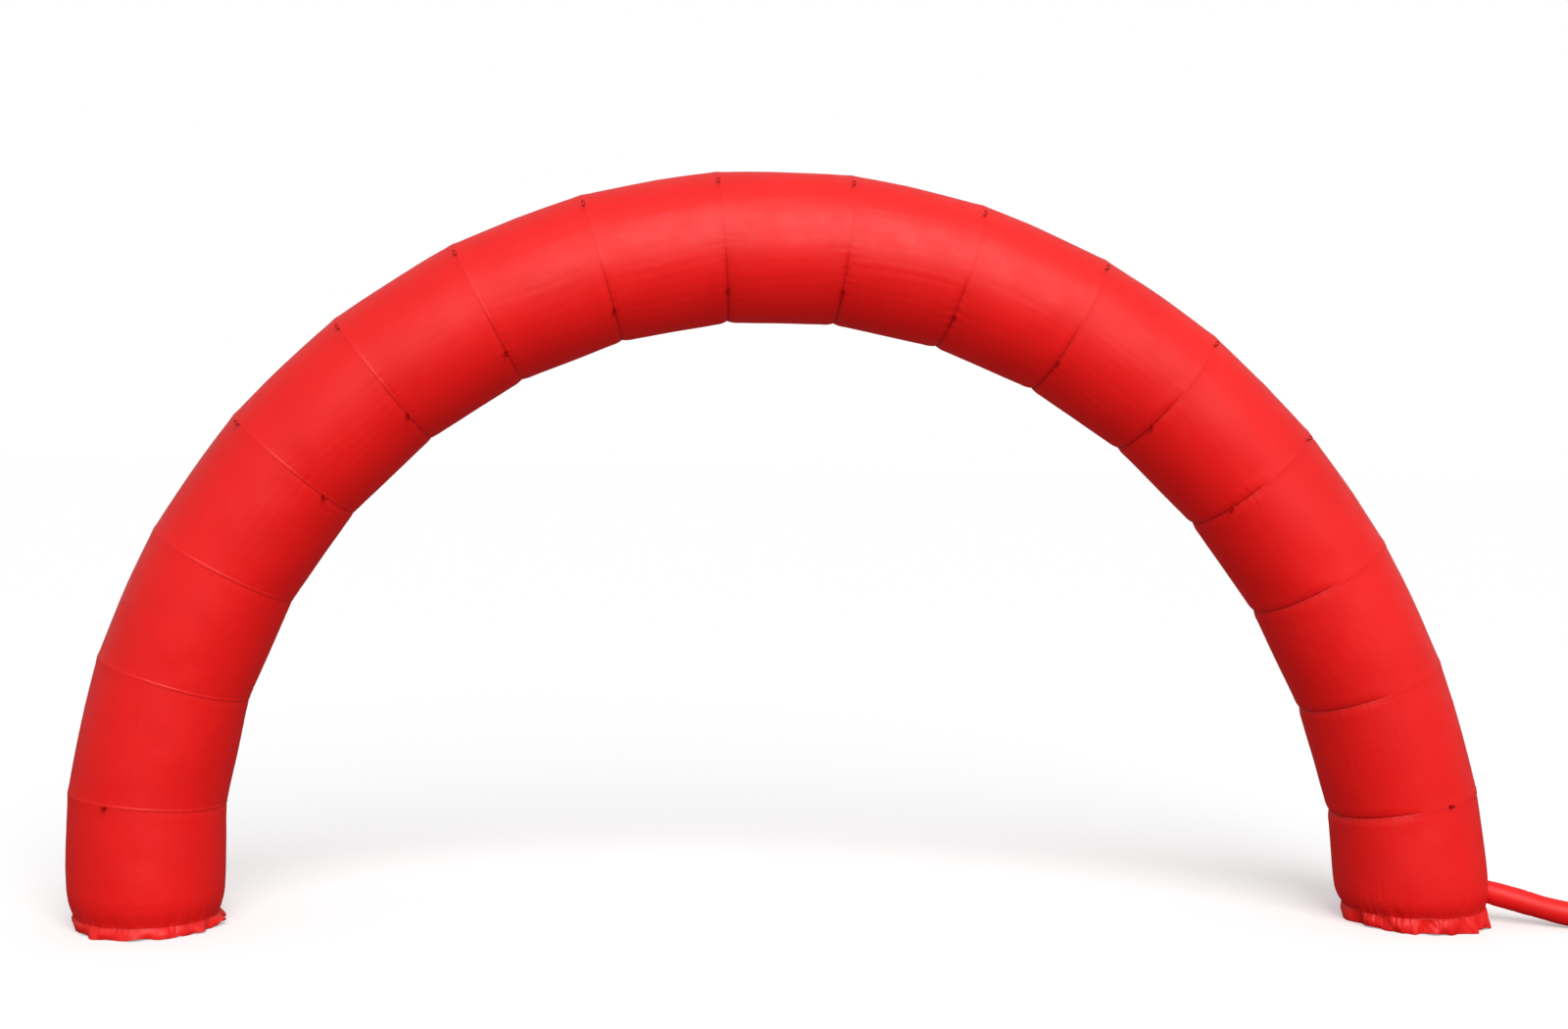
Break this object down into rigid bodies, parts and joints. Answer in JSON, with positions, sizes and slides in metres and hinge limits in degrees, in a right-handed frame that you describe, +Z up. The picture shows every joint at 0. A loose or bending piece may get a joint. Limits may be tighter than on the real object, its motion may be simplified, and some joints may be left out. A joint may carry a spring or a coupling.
{
  "type": "inflatable arch",
  "caption": "Free-standing inflatable arch: a round air-filled tube of mitred cloth panels on two gathered feet, with webbing tie loops and an air sleeve.",
  "frame": {"origin": "middle of the left foot's rest face, on the ground", "axes": "+X from the left foot to the right foot, -Y out of the arch's front, +Z up"},
  "size_m": [11.881, 1.0908, 5.432],
  "materials": {
    "tube_cloth": "coated polyester, satin red",
    "skirt_cloth": "gathered coated polyester, satin red",
    "sleeve_cloth": "light coated polyester, satin red",
    "webbing": "woven polyester webbing, matt red"
  },
  "bodies": {
    "root": {"air_sleeve": "sleeve_cloth", "foot_left": "tube_cloth", "foot_right": "tube_cloth", "skirt_left": "skirt_cloth", "skirt_right": "skirt_cloth", "tie_loop_foot_01": "webbing", "tie_loop_foot_16": "webbing", "tie_loop_inner_04": "webbing", "tie_loop_inner_05": "webbing", "tie_loop_inner_06": "webbing", "tie_loop_inner_07": "webbing", "tie_loop_inner_08": "webbing", "tie_loop_inner_09": "webbing", "tie_loop_inner_10": "webbing", "tie_loop_inner_11": "webbing", "tie_loop_inner_12": "webbing", "tie_loop_inner_13": "webbing", "tie_loop_outer_04": "webbing", "tie_loop_outer_05": "webbing", "tie_loop_outer_06": "webbing", "tie_loop_outer_07": "webbing", "tie_loop_outer_08": "webbing", "tie_loop_outer_09": "webbing", "tie_loop_outer_10": "webbing", "tie_loop_outer_11": "webbing", "tie_loop_outer_12": "webbing", "tie_loop_outer_13": "webbing", "tube_panel_02": "tube_cloth", "tube_panel_03": "tube_cloth", "tube_panel_04": "tube_cloth", "tube_panel_05": "tube_cloth", "tube_panel_06": "tube_cloth", "tube_panel_07": "tube_cloth", "tube_panel_08": "tube_cloth", "tube_panel_09": "tube_cloth", "tube_panel_10": "tube_cloth", "tube_panel_11": "tube_cloth", "tube_panel_12": "tube_cloth", "tube_panel_13": "tube_cloth", "tube_panel_14": "tube_cloth", "tube_panel_15": "tube_cloth", "tube_panel_16": "tube_cloth"}
  },
  "joints": []
}
